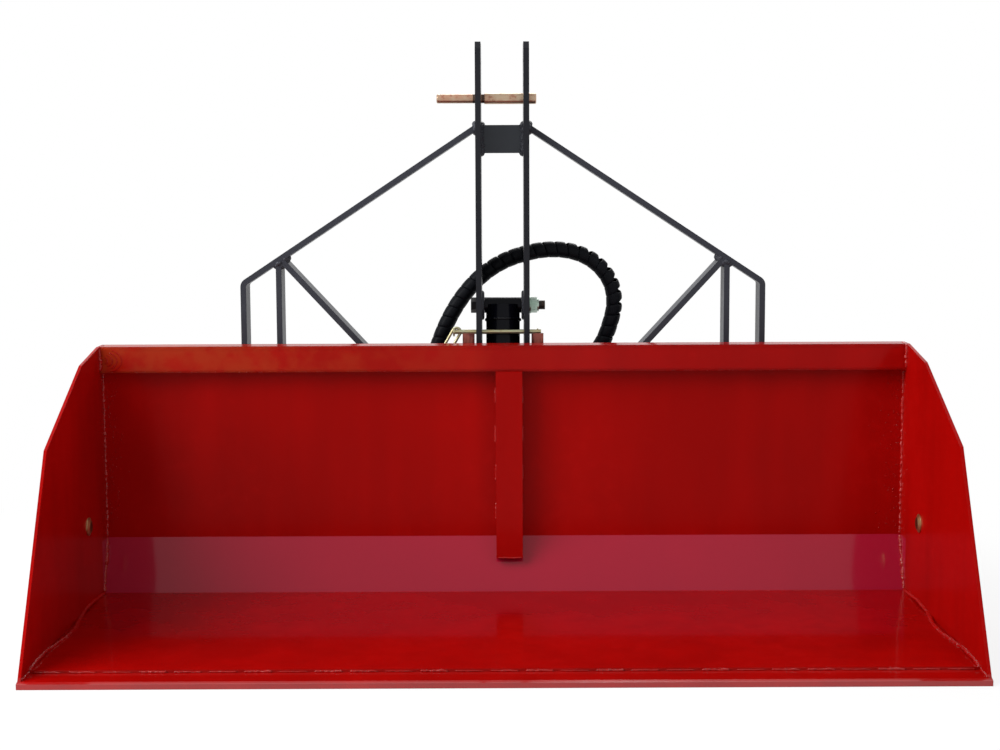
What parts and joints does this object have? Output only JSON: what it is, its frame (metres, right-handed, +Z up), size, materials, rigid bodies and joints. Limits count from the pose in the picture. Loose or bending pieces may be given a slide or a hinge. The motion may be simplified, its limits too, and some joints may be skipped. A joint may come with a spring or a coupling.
{
  "type": "tipping transport box",
  "caption": "Hydraulic tipping rear transport box: open sheet-steel bucket with a cutting blade, hung from a three-point linkage frame with a cylinder and hoses.",
  "frame": {"origin": "on the ground under the middle of the machine, measured without its hoses", "axes": "+X to the right seen from the open front, +Y from the cutting edge back towards the tractor, +Z up"},
  "size_m": [1.4746, 0.7571, 0.962],
  "materials": {
    "red_paint": "glossy red enamel over welded sheet steel",
    "frame_steel": "glossy dark grey enamel over welded flat bar",
    "black_paint": "glossy black enamel",
    "black_rubber": "satin black",
    "yellow_zinc": "yellow passivated zinc plate",
    "copper_zinc": "coppery passivated zinc plate",
    "pale_zinc": "pale clear zinc plate",
    "bright_steel": "ground and hard-chromed steel"
  },
  "bodies": {
    "frame": {"upright_left": "frame_steel", "upright_right": "frame_steel", "cross_plate": "frame_steel", "diagonal_bar_left": "frame_steel", "diagonal_bar_right": "frame_steel", "outer_link_bar_left": "frame_steel", "outer_link_bar_right": "frame_steel", "inner_link_bar_left": "frame_steel", "inner_link_bar_right": "frame_steel", "brace_left": "frame_steel", "brace_right": "frame_steel", "beam_left": "frame_steel", "beam_right": "frame_steel", "bridge_plate": "frame_steel", "side_arm_left": "frame_steel", "side_arm_right": "frame_steel", "boss_discs": "frame_steel", "pivot_bolts": "yellow_zinc", "pivot_washers": "yellow_zinc", "pivot_nuts": "yellow_zinc", "cylinder_bolt": "black_paint", "cylinder_washer": "pale_zinc", "cylinder_nut": "pale_zinc", "hose_a": "black_rubber", "hose_b": "black_rubber", "hose_guard": "black_rubber", "couplers": "pale_zinc"},
    "box": {"box_sheet": "red_paint", "side_panel_left": "red_paint", "side_panel_right": "red_paint", "top_tube": "red_paint", "centre_stiffener": "red_paint", "cutting_blade": "red_paint", "runner_left": "red_paint", "runner_centre": "red_paint", "runner_right": "red_paint", "pivot_plate_left": "red_paint", "pivot_plate_right": "red_paint", "stop_lug_left": "red_paint", "stop_lug_right": "red_paint", "cylinder_lug_left": "red_paint", "cylinder_lug_right": "red_paint"},
    "cylinder": {"cross_tube": "black_paint", "base_cap": "black_paint", "barrel": "black_paint", "gland": "black_paint", "wiper_seal": "black_rubber", "base_pipe": "black_paint", "rod_pipe": "black_paint", "port_elbows": "pale_zinc"},
    "rod": {"piston": "bright_steel", "piston_seal": "black_rubber", "piston_rod": "bright_steel", "rod_eye": "bright_steel", "foot_pin": "yellow_zinc", "foot_clips": "pale_zinc"},
    "top_pin": {"top_link_pin": "copper_zinc"},
    "lock": {"lock_rod": "yellow_zinc"},
    "link_pin_l": {"link_pin_left": "yellow_zinc"},
    "link_pin_r": {"link_pin_right": "yellow_zinc"}
  },
  "joints": [
    {"name": "box_tip", "type": "hinge", "parent": "frame", "child": "box", "pos_m": [0, 0.0648, 0.15], "axis": [1, 0, 0], "range_deg": [0, 45]},
    {"name": "cylinder_swing", "type": "hinge", "parent": "frame", "child": "cylinder", "pos_m": [0, 0.3018, 0.502], "axis": [1, 0, 0], "range_deg": [0, 1.8]},
    {"name": "rod_slide", "type": "slide", "parent": "cylinder", "child": "rod", "axis": [0, 0.1589, 0.9873], "range_m": [0, 0.15]},
    {"name": "top_link_pin_slide", "type": "slide", "parent": "frame", "child": "top_pin", "axis": [1, 0, 0], "range_m": [0, 0.16]},
    {"name": "lock_rod_slide", "type": "slide", "parent": "frame", "child": "lock", "axis": [-1, 0, 0], "range_m": [0, 0.12]},
    {"name": "link_pin_right_slide", "type": "slide", "parent": "frame", "child": "link_pin_r", "axis": [1, 0, 0], "range_m": [0, 0.09]},
    {"name": "link_pin_left_slide", "type": "slide", "parent": "frame", "child": "link_pin_l", "axis": [-1, 0, 0], "range_m": [0, 0.09]}
  ],
  "couplings": [
    {"joint": "cylinder_swing", "follows": "box_tip", "ratio": 0.04},
    {"joint": "rod_slide", "follows": "box_tip", "m_per_rad": 0.19091}
  ]
}
